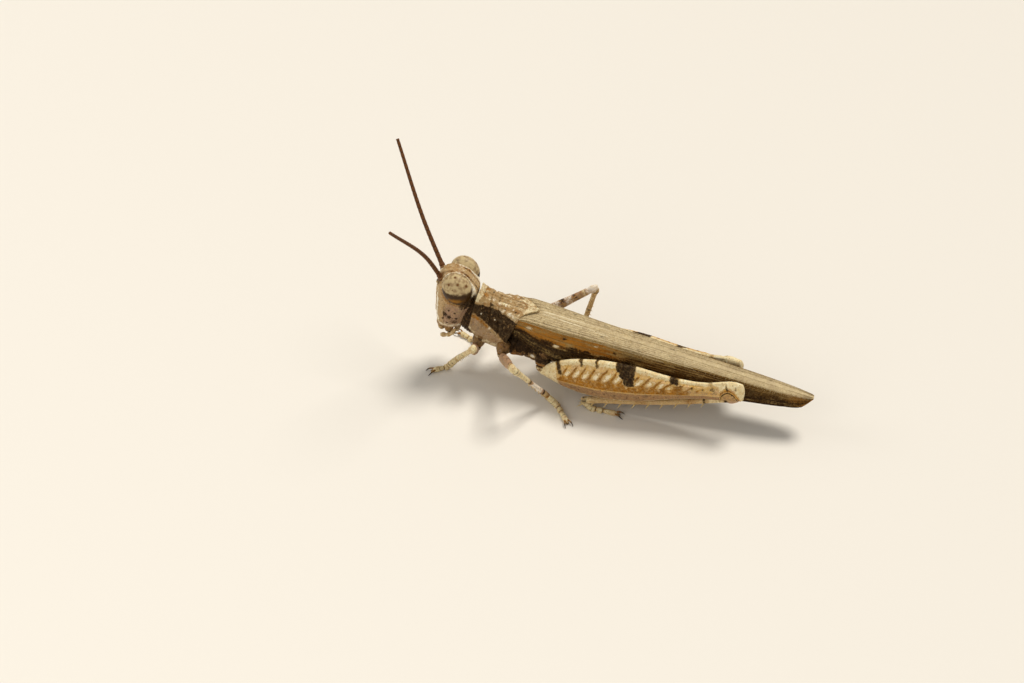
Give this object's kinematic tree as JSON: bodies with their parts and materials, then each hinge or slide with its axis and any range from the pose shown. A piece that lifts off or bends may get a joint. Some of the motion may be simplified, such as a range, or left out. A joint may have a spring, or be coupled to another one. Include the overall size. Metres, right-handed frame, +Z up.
{
  "type": "grasshopper",
  "caption": "Slender sand-coloured band-winged grasshopper standing still with folded hind legs, long narrow wings and raised feelers.",
  "frame": {"origin": "middle of the box's underside, on the floor between the feet", "axes": "+Z up, the animal faces -Y with its wing tips towards +Y, its left side is +X"},
  "size_m": [0.0128, 0.0356, 0.0178],
  "materials": {
    "head_shell": "pale pinkish grey and straw chitin with fine brown mottling",
    "eye": "smooth faceted eye, greenish cream above and brown below, soft spots",
    "antenna": "dark reddish brown ringed thread",
    "mouthparts": "pale cream chitin with darker tips",
    "pronotum_shell": "pinkish straw saddle with white dots and a dark side band",
    "thorax_shell": "pinkish grey chitin plates, brown in the seams",
    "abdomen_shell": "straw coloured rings with softer pale seams",
    "tegmen": "parchment-like wing, pale greenish straw on top, ochre brown on the side",
    "hindwing": "folded clear membrane with fine veins",
    "slim_leg": "cream with pinkish grey and brown bands",
    "hind_femur": "cream with ochre fishbone ridges and dark bands",
    "hind_tibia": "pinkish ochre with pale rings and dark-tipped spines",
    "tarsus": "cream foot joints with dark claws"
  },
  "bodies": {
    "root": {"head": "head_shell", "eye_left": "eye", "eye_right": "eye", "scape_left": "antenna", "scape_right": "antenna", "antenna_left": "antenna", "antenna_right": "antenna", "labrum": "mouthparts", "mandible_left": "mouthparts", "mandible_right": "mouthparts", "labium": "mouthparts", "palp_left": "mouthparts", "palp_right": "mouthparts", "pronotum": "pronotum_shell", "prothorax": "thorax_shell", "thorax": "thorax_shell", "abdomen": "abdomen_shell", "tail_plate": "abdomen_shell", "cercus_left": "abdomen_shell", "cercus_right": "abdomen_shell", "tegmen_left": "tegmen", "tegmen_right": "tegmen", "hindwing_left": "hindwing", "hindwing_right": "hindwing", "coxa_fore_left": "thorax_shell", "coxa_fore_right": "thorax_shell", "coxa_mid_left": "thorax_shell", "coxa_mid_right": "thorax_shell", "coxa_hind_left": "thorax_shell", "coxa_hind_right": "thorax_shell", "femur_hind_left": "hind_femur", "femur_hind_right": "hind_femur", "tibia_hind_left": "hind_tibia", "tibia_hind_right": "hind_tibia", "femur_fore_left": "slim_leg", "femur_fore_right": "slim_leg", "femur_mid_left": "slim_leg", "femur_mid_right": "slim_leg", "tibia_fore_left": "slim_leg", "tibia_fore_right": "slim_leg", "tibia_mid_left": "slim_leg", "tibia_mid_right": "slim_leg", "tarsus_fore_left": "tarsus", "tarsus_fore_right": "tarsus", "tarsus_mid_left": "tarsus", "tarsus_mid_right": "tarsus", "tarsus_hind_left": "tarsus", "tarsus_hind_right": "tarsus"}
  },
  "joints": []
}
